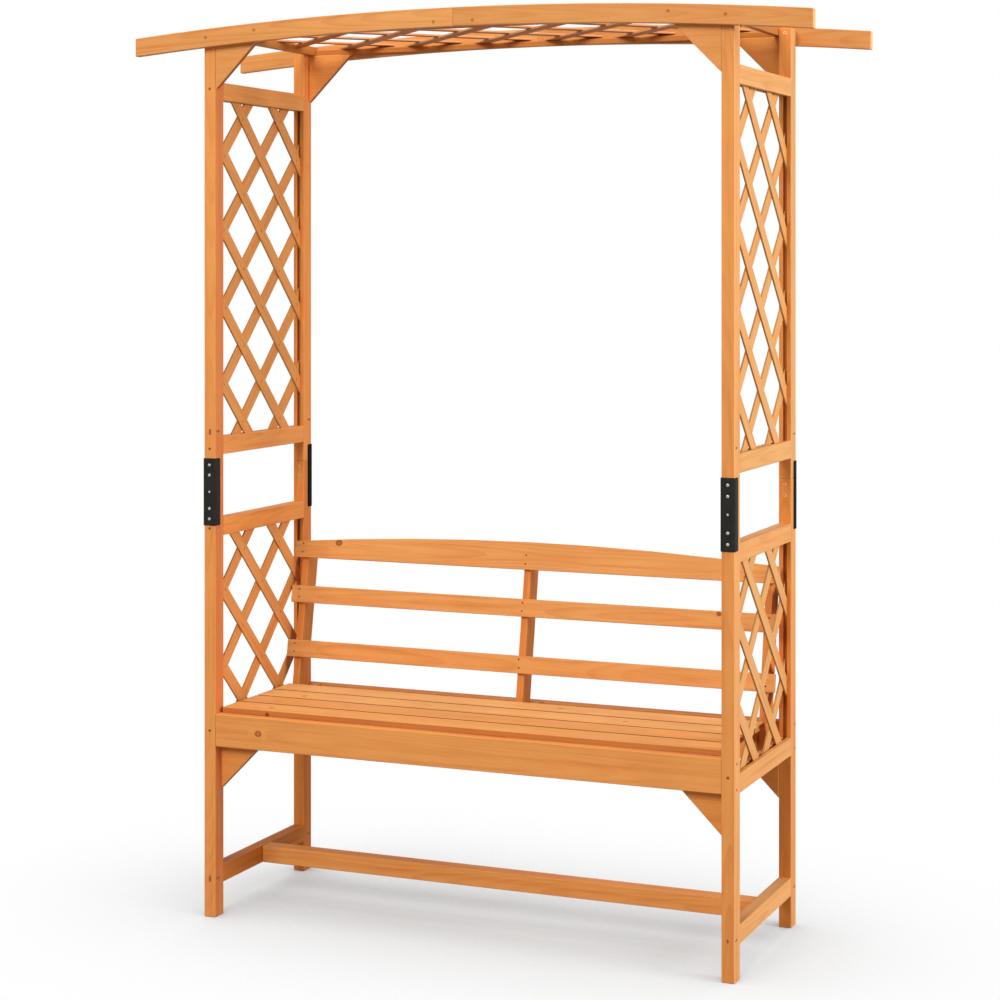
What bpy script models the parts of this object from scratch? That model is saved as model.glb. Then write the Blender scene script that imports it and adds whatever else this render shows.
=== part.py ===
"""A garden arbor bench: a slatted seat between two lattice side panels, under a flat lattice roof.

Four spliced posts carry the side rails, the seat, the leaning back and the roof between arched beams.
X runs to the right, Y from front to back, Z up, in metres. The origin is on the ground, in the middle.
"""

import math

import bmesh
import bpy
from mathutils import Matrix, Vector

# Clearance between pieces that touch, and how far a cut runs past the face that it leaves
gap = 0.0003
overrun = 0.004

# Eased edges of every board
edge_ease = 0.0012
edge_angle = math.radians(40)

# Posts, outer face to outer face, each spliced from a lower and an upper length with a half lap
bench_width = 1.250
bench_depth = 0.465
post_width = 0.0285
post_depth = 0.038
post_height = 2.003
seam_height = 1.000
lap_length = 0.060

# Side rails between the front and back posts, named by what they do. Their undersides are set from
# the top of the posts, from the seam of the posts, from the underside of the aprons or from the ground.
rail_height = 0.040
top_rail_drop = 0.153
window_top_rail_rise = 0.045
arm_rail_drop = 0.1395
seat_rail_drop = 0.003
side_stretcher_bottom = 0.072

# Long stretcher from side to side, set a little behind the middle
long_stretcher_height = 0.038
long_stretcher_depth = 0.040
long_stretcher_setback = 0.006

# Lattice: two layers of crossed slats, held in grooves in the posts and the rails
lattice_slat_width = 0.030
lattice_slat_thickness = 0.004
lattice_layer_bite = 0.0003
slat_angle = math.radians(45)
groove_depth = 0.007
side_half_pitch = 0.088
upper_lattice_drop = 0.0035
side_lattice_setback = 0.003
roof_half_pitch = 0.089

# Arched beams, each of two halves that meet in the middle, with the crown above the posts' tops
beam_overhang = 0.1705
beam_height = 0.041
beam_thickness = 0.018
beam_crown_rise = 0.027
beam_arch_radius = 8.53

# Flat roof frame under the lattice: straight ledgers along the beams, end boards along the posts.
# Its underside is set from the top of the posts.
roof_frame_drop = 0.016
ledger_height = 0.013
ledger_thickness = 0.012
end_board_height = 0.021
end_board_thickness = 0.0175

# Corner gussets, right-angled triangles. The lower ones end a little under the seat bearers.
gusset_leg = 0.115
top_gusset_thickness = 0.014
seat_gusset_thickness = 0.014
seat_gusset_space = 0.0123

# Splice brackets: folded steel channels around each splice, with their screws. The middle of each
# bracket lies this far below the seam.
bracket_height = 0.152
bracket_middle_drop = 0.038
bracket_sheet = 0.0018
bracket_bend_radius = 0.0024
bracket_bend_steps = 2
bracket_flange = 0.0195
screw_end_distance = 0.016
screw_spacing = 0.0225
screw_radius = 0.002
screw_length = 0.016
screw_head_radius = 0.0046
screw_head_height = 0.0022
bolt_length = 0.034
bolt_head_radius = 0.0034
screw_sides = 12

# Seat: aprons at front and back, bearers between them, slats on top
apron_bottom = 0.387
apron_height = 0.073
apron_thickness = 0.025
back_apron_drop = 0.0035
seat_slat_count = 4
seat_slat_spacing = 0.008
seat_slat_thickness = 0.013
seat_end_space = 0.0065
seat_front_setback = 0.0215
seat_back_space = 0.0172
bearer_height = 0.045
bearer_thickness = 0.017

# Back: three supports that lean with the back, and three slats across their front faces. At the top
# of the seat, the front of the supports lies this far inside the back of the posts.
back_lean = math.radians(10)
back_inset = 0.1103
support_thickness = 0.017
support_depth = 0.0487
support_side_clearance = 0.0073
support_tail = 0.0646
support_top = 0.331
back_slat_thickness = 0.0095
lower_slat_rise = 0.0606
lower_slat_height = 0.0406
middle_slat_rise = 0.1901
middle_slat_height = 0.0409
top_slat_rise = 0.2982
top_slat_height = 0.0640
top_slat_arch_radius = 7.2
arch_steps = 8

# Colours in linear light, with a few stained boards lighter or darker than the rest
stain_color = (0.72, 0.29, 0.085)
stain_roughness = 0.55
stain_shares = (1.0, 0.92, 1.06, 0.97, 0.88)
lattice_color = (0.62, 0.22, 0.060)
steel_color = (0.030, 0.029, 0.027)
steel_roughness = 0.45
steel_metallic = 0.6

# Places that follow from the sizes above
quarter_turn = math.pi / 2
half_width = bench_width / 2
half_depth = bench_depth / 2
post_inner_x = half_width - post_width
post_inner_y = half_depth - post_depth
post_middle_x = half_width - post_width / 2
lap_plane = half_depth - post_depth / 2
top_rail_bottom = post_height - top_rail_drop
window_top_rail_bottom = seam_height + window_top_rail_rise
arm_rail_bottom = seam_height - arm_rail_drop
seat_rail_bottom = apron_bottom - seat_rail_drop
bracket_middle = seam_height - bracket_middle_drop
bracket_bottom = bracket_middle - bracket_height / 2
bracket_plate_y = half_depth + gap + bracket_sheet
outer_screw_offset = bracket_height / 2 - screw_end_distance
inner_screw_offset = outer_screw_offset - screw_spacing
groove_width = 2 * (lattice_slat_thickness + gap)
tongue = groove_depth - gap
beam_length = bench_width + 2 * beam_overhang
beam_crown_height = post_height + beam_crown_rise
inside_x = post_inner_x - gap
roof_frame_bottom = post_height - roof_frame_drop
roof_frame_x = inside_x - end_board_thickness
ledger_top = roof_frame_bottom + ledger_height
apron_top = apron_bottom + apron_height
apron_inner_y = half_depth - apron_thickness
bearer_bottom = apron_top - bearer_height
seat_gusset_bottom = bearer_bottom - seat_gusset_space - gusset_leg
seat_top = apron_top + gap + seat_slat_thickness
seat_slat_length = 2 * (post_inner_x - seat_end_space)
seat_front_y = seat_front_setback - half_depth
back_y = half_depth - back_inset
seat_depth = back_y - seat_back_space - seat_front_y
seat_slat_pitch = (seat_depth + seat_slat_spacing) / seat_slat_count
seat_slat_width = seat_slat_pitch - seat_slat_spacing

sides = {"left": -1, "right": 1}
ends = {"front": -1, "back": 1}

for old in list(bpy.data.objects):
    bpy.data.objects.remove(old, do_unlink=True)

parts = bpy.data.collections.new("garden_arbor_bench")
cutters = bpy.data.collections.new("cutters")
bpy.context.scene.collection.children.link(parts)
bpy.context.scene.collection.children.link(cutters)


def mirrored(sign, near, far):
    """The range from near to far on one side of the middle, smaller value first."""
    return tuple(sorted((sign * near, sign * far)))


def centred(half):
    """The range that reaches the same way to both sides of the middle."""
    return (-half, half)


def from_bottom(bottom, height):
    """The range of a piece from its underside and its height."""
    return (bottom, bottom + height)


def finish(name, color, roughness, metallic):
    """A Principled material for one piece."""
    material = bpy.data.materials.new(name)
    material.use_nodes = True
    shader = material.node_tree.nodes["Principled BSDF"]
    shader.inputs["Base Color"].default_value = (*color, 1)
    shader.inputs["Roughness"].default_value = roughness
    shader.inputs["Metallic"].default_value = metallic
    return material


def stained_wood(name, color=stain_color):
    """Stained softwood, in one of a few shades by turns."""
    share = stain_shares[len(parts.objects) % len(stain_shares)]
    shade = [min(channel * share, 1) for channel in color]
    return finish(name, shade, stain_roughness, 0)


def coated_steel(name):
    """Black coated steel."""
    return finish(name, steel_color, steel_roughness, steel_metallic)


def add_object(name, shape, place, collection):
    """Turns a bmesh into an object of a collection."""
    mesh = bpy.data.meshes.new(name)
    shape.to_mesh(mesh)
    shape.free()
    new = bpy.data.objects.new(name, mesh)
    new.location = place
    collection.objects.link(new)
    return new


def box_shape(size):
    """A box of this size around its own middle."""
    shape = bmesh.new()
    bmesh.ops.create_cube(shape, size=1, matrix=Matrix.Diagonal((*size, 1)))
    return shape


def middle_and_size(x, y, z):
    """The middle and the size of the box between three ranges."""
    low, high = Vector((x[0], y[0], z[0])), Vector((x[1], y[1], z[1]))
    return (low + high) / 2, high - low


def ease_edges(piece):
    """Takes the sharp edges off a board."""
    bevel = piece.modifiers.new("eased edges", "BEVEL")
    bevel.width = edge_ease
    bevel.segments = 1
    bevel.limit_method = "ANGLE"
    bevel.angle_limit = edge_angle


def board(name, x, y, z):
    """A stained board that fills three ranges, with its edges eased."""
    middle, size = middle_and_size(x, y, z)
    piece = add_object(name, box_shape(size), middle, parts)
    piece.data.materials.append(stained_wood(name))
    ease_edges(piece)
    return piece


def cutter(name, shape, place):
    """A shape that only cuts or joins, kept apart from the pieces."""
    tool = add_object(name, shape, place, cutters)
    tool.hide_render = True
    tool.display_type = "WIRE"
    return tool


def box_cutter(name, x, y, z):
    """A box-shaped cutter that fills three ranges."""
    middle, size = middle_and_size(x, y, z)
    return cutter(name, box_shape(size), middle)


def combine(piece, tool, operation):
    """Cuts, joins or trims a piece with a cutter."""
    change = piece.modifiers.new(tool.name, "BOOLEAN")
    change.solver = "EXACT"
    change.operation = operation
    change.object = tool


def rods_along_y(rods):
    """Round rods along Y in one shape, each given by its radius, its near and far ends and its height."""
    shape = bmesh.new()
    for radius, y, height in rods:
        turn = Matrix.Rotation(quarter_turn, 4, "X")
        place = Matrix.Translation((0, sum(y) / 2, height))
        bmesh.ops.create_cone(
            shape, cap_ends=True, segments=screw_sides, radius1=radius, radius2=radius,
            depth=y[1] - y[0], matrix=place @ turn,
        )
    return shape


def screw_places():
    """Height over the bracket's middle, length and head radius of the screws and the bolt between them."""
    screws = []
    for offset in (-outer_screw_offset, -inner_screw_offset, inner_screw_offset, outer_screw_offset):
        screws.append((offset, screw_length, screw_head_radius))
    screws.append((0, bolt_length, bolt_head_radius))
    return screws


def splice_screws(name, side, end, clearance):
    """The fasteners of one splice as a cutter: their holes if there is a clearance, else themselves."""
    plate = bracket_plate_y
    rods = []
    for offset, length, head in screw_places():
        tip = half_depth - length - clearance
        rods.append((screw_radius + clearance, mirrored(end, tip, plate - bracket_sheet / 2), offset))
        if not clearance:
            rods.append((head, mirrored(end, plate - bracket_sheet / 2, plate + screw_head_height), offset))
    return cutter(name, rods_along_y(rods), (side * post_middle_x, 0, bracket_middle))


def cut_groove_in_post(post, side, end, label, bottom, top):
    """The upright groove that holds one edge of a lattice panel."""
    x = tuple(side * post_middle_x + reach for reach in centred(groove_width / 2))
    y = mirrored(end, post_inner_y - overrun, post_inner_y + groove_depth)
    z = (bottom - groove_depth, top + groove_depth)
    combine(post, box_cutter(f"cut_{label}_{post.name}", x, y, z), "DIFFERENCE")


def build_post(side_name, end_name):
    """One post: a lower and an upper length that meet in a half lap, behind a steel bracket."""
    side, end = sides[side_name], ends[end_name]
    corner = f"{end_name}_{side_name}"
    x = mirrored(side, post_inner_x, half_width)
    y = mirrored(end, post_inner_y, half_depth)
    wide_x = mirrored(side, post_inner_x - overrun, half_width + overrun)
    lap_bottom = seam_height - lap_length

    lower = board(f"post_lower_{corner}", x, y, (0, seam_height))
    outer_half = mirrored(end, lap_plane - gap / 2, half_depth + overrun)
    shoulder = (lap_bottom - gap, seam_height + overrun)
    combine(lower, box_cutter(f"cut_lap_{lower.name}", wide_x, outer_half, shoulder), "DIFFERENCE")
    cut_groove_in_post(lower, side, end, "groove", seat_rail_bottom + rail_height, arm_rail_bottom)

    upper = board(f"post_upper_{corner}", x, y, (lap_bottom, post_height))
    inner_half = mirrored(end, post_inner_y - overrun, lap_plane + gap / 2)
    tongue_space = (lap_bottom - overrun, seam_height + gap)
    combine(upper, box_cutter(f"cut_lap_{upper.name}", wide_x, inner_half, tongue_space), "DIFFERENCE")
    cut_groove_in_post(upper, side, end, "groove", window_top_rail_bottom + rail_height, top_rail_bottom)

    holes = splice_screws(f"cut_screw_holes_{corner}", side, end, gap)
    combine(lower, holes, "DIFFERENCE")
    combine(upper, holes, "DIFFERENCE")


def build_bracket(side_name, end_name):
    """A folded steel channel around the outer side of one splice, with its screws and bolt in place."""
    side, end = sides[side_name], ends[end_name]
    corner = f"{end_name}_{side_name}"
    inner_half_width = post_width / 2 + gap
    flange_tip = half_depth - bracket_flange
    y = mirrored(end, flange_tip, bracket_plate_y)
    size = (2 * (inner_half_width + bracket_sheet), y[1] - y[0], bracket_height)
    shape = box_shape(size)
    plate_side = end * size[1] / 2
    folds = [
        edge for edge in shape.edges
        if all(abs(vertex.co.y - plate_side) < gap for vertex in edge.verts)
        and abs(edge.verts[0].co.x - edge.verts[1].co.x) < gap
    ]
    bmesh.ops.bevel(
        shape, geom=folds, offset=bracket_bend_radius, segments=bracket_bend_steps,
        profile=0.5, affect="EDGES",
    )
    name = f"splice_bracket_{corner}"
    bracket = add_object(name, shape, (side * post_middle_x, sum(y) / 2, bracket_middle), parts)
    bracket.data.materials.append(coated_steel(name))

    post_x = tuple(side * post_middle_x + reach for reach in centred(inner_half_width))
    post_y = mirrored(end, flange_tip - overrun, bracket_plate_y - bracket_sheet)
    through_z = (bracket_bottom - overrun, bracket_bottom + bracket_height + overrun)
    combine(bracket, box_cutter(f"cut_post_{name}", post_x, post_y, through_z), "DIFFERENCE")
    combine(bracket, splice_screws(f"join_screws_{corner}", side, end, 0), "UNION")


def build_side_rail(name, side, bottom, groove_side):
    """A rail between a front and a back post, grooved along its top or underside for a lattice panel."""
    x = mirrored(side, post_inner_x, half_width)
    rail = board(name, x, centred(post_inner_y - gap), from_bottom(bottom, rail_height))
    if groove_side == "plain":
        return
    groove_x = tuple(side * post_middle_x + reach for reach in centred(groove_width / 2))
    if groove_side == "top":
        z = (bottom + rail_height - groove_depth, bottom + rail_height + overrun)
    else:
        z = (bottom - overrun, bottom + groove_depth)
    groove = box_cutter(f"cut_groove_{name}", groove_x, centred(post_inner_y + overrun), z)
    combine(rail, groove, "DIFFERENCE")


def slat_layer(along, across, lean, z, half_pitch, shift):
    """Parallel slats at 45 degrees that fill a range of the panel's thickness.

    The panel reaches along and across its middle by these half sizes, and shift moves the pattern in it.
    Slats lie at the odd multiples of the half pitch, on both sides of the middle. A slat that is cut so
    short by a corner that it may miss every slat of the other layer is left out.
    """
    shape = bmesh.new()
    reach = 2 * (along + across)
    last = int((along + across + abs(shift[0])) / half_pitch) + 1
    for step in range(-last, last + 1):
        if step % 2 == 0:
            continue
        offset = step * half_pitch + shift[0]
        if along + across - abs(offset) < half_pitch:
            continue
        place = Matrix.Translation((offset, shift[1], sum(z) / 2))
        turn = Matrix.Rotation(lean * slat_angle, 4, "Z")
        stretch = Matrix.Diagonal((lattice_slat_width, reach, z[1] - z[0], 1))
        bmesh.ops.create_cube(shape, size=1, matrix=place @ turn @ stretch)
    return shape


def lattice_panel(name, along, across, half_pitch, shift, place, turn):
    """A flat lattice in its own plane: its layers are joined where slats cross, its outline is trimmed."""
    under = (-lattice_slat_thickness, lattice_layer_bite)
    over = (-lattice_layer_bite, lattice_slat_thickness)
    first = slat_layer(along, across, 1, under, half_pitch, shift)
    second = slat_layer(along, across, -1, over, half_pitch, shift)
    panel = add_object(name, first, place, parts)
    panel.data.materials.append(stained_wood(name, lattice_color))
    crossing = cutter(f"join_layer_{name}", second, place)
    outline = (2 * along, 2 * across, 2 * (lattice_slat_thickness + overrun))
    trim = cutter(f"trim_{name}", box_shape(outline), place)
    for piece in (panel, crossing, trim):
        piece.rotation_euler = turn
    combine(panel, crossing, "UNION")
    combine(panel, trim, "INTERSECT")


def build_side_lattice(name, side, bottom, top, drop):
    """The lattice between two posts and two rails, with its edges in their grooves."""
    along = (top - bottom) / 2 + tongue
    across = post_inner_y + tongue
    place = (side * post_middle_x, 0, (bottom + top) / 2)
    upright = (quarter_turn, -quarter_turn, quarter_turn)
    shift = (-drop, -side_lattice_setback)
    lattice_panel(name, along, across, side_half_pitch, shift, place, upright)


def build_side(side_name):
    """Rails, stretcher and lattice panels between the posts of one side."""
    side = sides[side_name]
    build_side_rail(f"side_rail_top_{side_name}", side, top_rail_bottom, "underside")
    build_side_rail(f"side_rail_window_{side_name}", side, window_top_rail_bottom, "top")
    build_side_rail(f"side_rail_arm_{side_name}", side, arm_rail_bottom, "underside")
    build_side_rail(f"side_rail_seat_{side_name}", side, seat_rail_bottom, "top")
    build_side_rail(f"side_stretcher_{side_name}", side, side_stretcher_bottom, "plain")
    upper = f"side_lattice_upper_{side_name}"
    upper_bottom = window_top_rail_bottom + rail_height
    build_side_lattice(upper, side, upper_bottom, top_rail_bottom, upper_lattice_drop)
    lower = f"side_lattice_lower_{side_name}"
    lower_bottom = seat_rail_bottom + rail_height
    build_side_lattice(lower, side, lower_bottom, arm_rail_bottom, 0)


def build_long_stretcher():
    """The low rail that joins the two side stretchers."""
    middle = side_stretcher_bottom + rail_height / 2
    y = tuple(long_stretcher_setback + reach for reach in centred(long_stretcher_depth / 2))
    z = tuple(middle + reach for reach in centred(long_stretcher_height / 2))
    board("long_stretcher", centred(inside_x), y, z)


def arch_drop(x, radius):
    """How far an arc of this radius lies below its crown at x."""
    return radius - math.sqrt(radius ** 2 - x ** 2)


def arched_board(name, x, y, z, radius, whole):
    """A board whose top edge, or whole height, follows an arc with its crown in the middle of the bench."""
    middle, size = middle_and_size(x, y, z)
    shape = box_shape(size)
    for step in range(1, arch_steps):
        station = Vector((size.x * (step / arch_steps - 1 / 2), 0, 0))
        everything = shape.verts[:] + shape.edges[:] + shape.faces[:]
        bmesh.ops.bisect_plane(shape, geom=everything, plane_co=station, plane_no=(1, 0, 0))
    for vertex in shape.verts:
        if whole or vertex.co.z > 0:
            vertex.co.z -= arch_drop(middle.x + vertex.co.x, radius)
    piece = add_object(name, shape, middle, parts)
    piece.data.materials.append(stained_wood(name))
    ease_edges(piece)
    return piece


def build_beam(side_name, end_name):
    """One half of an arched beam, on the outer faces of the posts."""
    side, end = sides[side_name], ends[end_name]
    x = mirrored(side, gap / 2, beam_length / 2)
    y = mirrored(end, half_depth + gap, half_depth + gap + beam_thickness)
    z = (beam_crown_height - beam_height, beam_crown_height)
    arched_board(f"beam_{end_name}_{side_name}", x, y, z, beam_arch_radius, True)


def build_roof():
    """The flat frame between the beams and the lattice that lies on it."""
    for end_name, end in ends.items():
        y = mirrored(end, half_depth - ledger_thickness, half_depth)
        z = from_bottom(roof_frame_bottom, ledger_height)
        board(f"roof_ledger_{end_name}", centred(roof_frame_x - gap), y, z)
    for side_name, side in sides.items():
        x = mirrored(side, roof_frame_x, inside_x)
        z = from_bottom(roof_frame_bottom, end_board_height)
        board(f"roof_end_board_{side_name}", x, centred(half_depth), z)
    middle_z = ledger_top + gap + lattice_slat_thickness
    lattice_panel(
        "roof_lattice", roof_frame_x - gap, half_depth, roof_half_pitch, (0, 0),
        (0, 0, middle_z), (0, 0, 0),
    )


def build_gusset(name, side, y, bottom, thickness):
    """A triangular corner block: upright leg on the post's inner face, level leg on top."""
    shape = box_shape((gusset_leg, thickness, gusset_leg))
    slope = Vector((-side, 0, -1))
    everything = shape.verts[:] + shape.edges[:] + shape.faces[:]
    cut = bmesh.ops.bisect_plane(
        shape, geom=everything, plane_co=(0, 0, 0), plane_no=slope, clear_outer=True,
    )
    rim = [item for item in cut["geom_cut"] if isinstance(item, bmesh.types.BMEdge)]
    bmesh.ops.contextual_create(shape, geom=rim)
    bmesh.ops.dissolve_degenerate(shape, dist=gap / 2, edges=shape.edges[:])
    bmesh.ops.recalc_face_normals(shape, faces=shape.faces[:])
    place = (side * (inside_x - gusset_leg / 2), sum(y) / 2, bottom + gusset_leg / 2)
    piece = add_object(name, shape, place, parts)
    piece.data.materials.append(stained_wood(name))
    ease_edges(piece)


def build_gussets(side_name, end_name):
    """The gusset under the roof frame and the one behind the apron, at one corner."""
    side, end = sides[side_name], ends[end_name]
    corner = f"{end_name}_{side_name}"
    top_y = mirrored(end, half_depth - top_gusset_thickness, half_depth)
    top_bottom = roof_frame_bottom - gap - gusset_leg
    build_gusset(f"top_gusset_{corner}", side, top_y, top_bottom, top_gusset_thickness)
    behind_apron = apron_inner_y - gap
    seat_y = mirrored(end, behind_apron - seat_gusset_thickness, behind_apron)
    build_gusset(f"seat_gusset_{corner}", side, seat_y, seat_gusset_bottom, seat_gusset_thickness)


def support_x(name):
    """The X range of a back support: two near the posts and one in the middle."""
    if name == "centre":
        return centred(support_thickness / 2)
    outer = post_inner_x - support_side_clearance
    return mirrored(sides[name], outer - support_thickness, outer)


def bearer_x(name):
    """The X range of a seat bearer, beside the back support that is fixed to it."""
    support = support_x(name)
    if name == "right":
        return (support[0] - gap - bearer_thickness, support[0] - gap)
    return (support[1] + gap, support[1] + gap + bearer_thickness)


def build_seat():
    """Aprons flush with the posts, bearers between them and slats across the bearers."""
    apron_bottoms = {"front": apron_bottom, "back": apron_bottom - back_apron_drop}
    for end_name, end in ends.items():
        y = mirrored(end, apron_inner_y, half_depth)
        z = from_bottom(apron_bottoms[end_name], apron_height)
        board(f"seat_apron_{end_name}", centred(inside_x), y, z)
    for name in ("left", "centre", "right"):
        z = (bearer_bottom, apron_top)
        board(f"seat_bearer_{name}", bearer_x(name), centred(apron_inner_y - gap), z)
    for number in range(seat_slat_count):
        y = from_bottom(seat_front_y + number * seat_slat_pitch, seat_slat_width)
        z = from_bottom(apron_top + gap, seat_slat_thickness)
        board(f"seat_slat_{number + 1}", centred(seat_slat_length / 2), y, z)


def build_back():
    """The leaning back, built upright on a tilted empty that stands at the top of the seat."""
    plane = bpy.data.objects.new("back_plane", None)
    parts.objects.link(plane)
    plane.location = (0, back_y, seat_top)
    plane.rotation_euler = (-back_lean, 0, 0)
    pieces = []
    for name in ("left", "centre", "right"):
        z = (-support_tail, support_top)
        pieces.append(board(f"back_support_{name}", support_x(name), (0, support_depth), z))
    slat_x = centred(post_middle_x - lattice_slat_thickness - gap)
    slat_y = (-gap - back_slat_thickness, -gap)
    lower_z = from_bottom(lower_slat_rise, lower_slat_height)
    middle_z = from_bottom(middle_slat_rise, middle_slat_height)
    top_z = from_bottom(top_slat_rise, top_slat_height)
    pieces.append(board("back_slat_lower", slat_x, slat_y, lower_z))
    pieces.append(board("back_slat_middle", slat_x, slat_y, middle_z))
    pieces.append(arched_board("back_slat_top", slat_x, slat_y, top_z, top_slat_arch_radius, False))
    for piece in pieces:
        piece.parent = plane


for end_name in ends:
    for side_name in sides:
        build_post(side_name, end_name)
        build_bracket(side_name, end_name)
        build_beam(side_name, end_name)
        build_gussets(side_name, end_name)
for side_name in sides:
    build_side(side_name)
build_long_stretcher()
build_roof()
build_seat()
build_back()
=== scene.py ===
import math
import random

import bmesh
import bpy
from mathutils import Matrix, Vector


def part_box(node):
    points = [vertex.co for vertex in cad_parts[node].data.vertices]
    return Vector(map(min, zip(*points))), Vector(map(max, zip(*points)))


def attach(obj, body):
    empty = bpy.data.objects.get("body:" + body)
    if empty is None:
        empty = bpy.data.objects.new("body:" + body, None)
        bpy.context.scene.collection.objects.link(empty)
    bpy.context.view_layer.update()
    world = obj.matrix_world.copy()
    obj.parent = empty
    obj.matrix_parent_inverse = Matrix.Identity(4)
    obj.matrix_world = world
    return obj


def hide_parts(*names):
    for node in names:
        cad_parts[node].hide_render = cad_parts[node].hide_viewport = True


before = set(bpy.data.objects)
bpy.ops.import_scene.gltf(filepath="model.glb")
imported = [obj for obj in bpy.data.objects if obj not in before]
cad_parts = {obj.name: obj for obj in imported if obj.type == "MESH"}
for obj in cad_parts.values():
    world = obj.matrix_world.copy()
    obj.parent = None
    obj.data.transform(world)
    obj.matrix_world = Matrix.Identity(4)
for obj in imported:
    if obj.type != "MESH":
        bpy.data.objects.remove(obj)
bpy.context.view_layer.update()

# Sizes read from the frame
post_low, post_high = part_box("post_lower_front_right")
bracket_low, bracket_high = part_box("splice_bracket_front_right")
beam_low, beam_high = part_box("beam_front_right")
half_depth = -post_low.y
post_inner_y = -post_high.y
post_inner_x = post_low.x
half_width = post_high.x
post_middle_x = (post_inner_x + half_width) / 2
beam_face_y = -beam_low.y
beam_crown = beam_high.z
seat_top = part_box("seat_slat_1")[1].z

# Sizes of the boards that lean or bend, as the frame has them, and the gap between boards that touch
board_gap = 0.0003
beam_height = 0.041
beam_arch_radius = 8.53
back_lean = math.radians(10)
back_y = half_depth - 0.1103
support_half = (0.1978, 0.0085, 0.02435)
back_slat_heights = {"lower": 0.0406, "middle": 0.0409, "top": 0.0640}
back_slat_thickness = 0.0095

# Lattice slats
slat_width = 0.030
slat_thickness = 0.004
slat_edge_radius = 0.0005
side_half_pitch = 0.088
roof_half_pitch = 0.089
upper_lattice_drop = 0.0035
side_lattice_setback = 0.003

# Staples: the wire's width and thickness, how far they stray and turn, and how far they keep from the rim
staple_crown = 0.0070
staple_leg = 0.0022
staple_wire = (0.0011, 0.0006)
staple_stray = 0.004
staple_turn = 0.5
staple_margin = 0.020

# Splice brackets, with the heights of their screws and of their bolt
bracket_sheet = 0.0016
bracket_flange = 0.0195
bracket_bend = 0.0036
bracket_bend_steps = 6
bracket_corner = 0.0040
bracket_corner_steps = 5
bracket_edge_radius = 0.0003
bracket_screw_heights = (1.0229, 0.9998, 0.9242, 0.9010)
bracket_bolt_height = 0.9620

# Screws in the faces and in the outer sides of the posts, and bolt ends in their inner faces
post_screw_x = 0.6108
post_screw_heights = {"left": (0.4218, 0.8793, 1.0594, 1.8740), "right": (0.4218,)}
side_screw_y = {"front": -0.2172, "back": 0.2258}
side_screw_heights = (0.3951, 0.4486)
bolt_end_x = 0.6100
bolt_end_heights = (0.9620, 0.9868, 1.9920)
bolt_end_bore = 0.0017

# Filled slots in the posts, at the level of the stretchers and of the window rails
slot_x = 0.6100
slot_y = 0.2201
face_slot_heights = (0.0864, 1.0976)
side_slot_heights = (0.0868, 1.0986)

# Plugs of each beam half, as distances from the middle and heights, and nails of the back slats
plug_places = ((0.0460, 2.0000), (0.4870, 2.0005), (0.6111, 1.9886))
nail_columns = (-0.5857, -0.0035, 0.5857)
nail_rises = {"lower": (0.0734, 0.0927), "middle": (0.2030, 0.2223), "top": (0.3115, 0.3317)}
nail_stray = 0.0015

sides = {"left": -1, "right": 1}
ends = {"front": -1, "back": 1}


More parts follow.
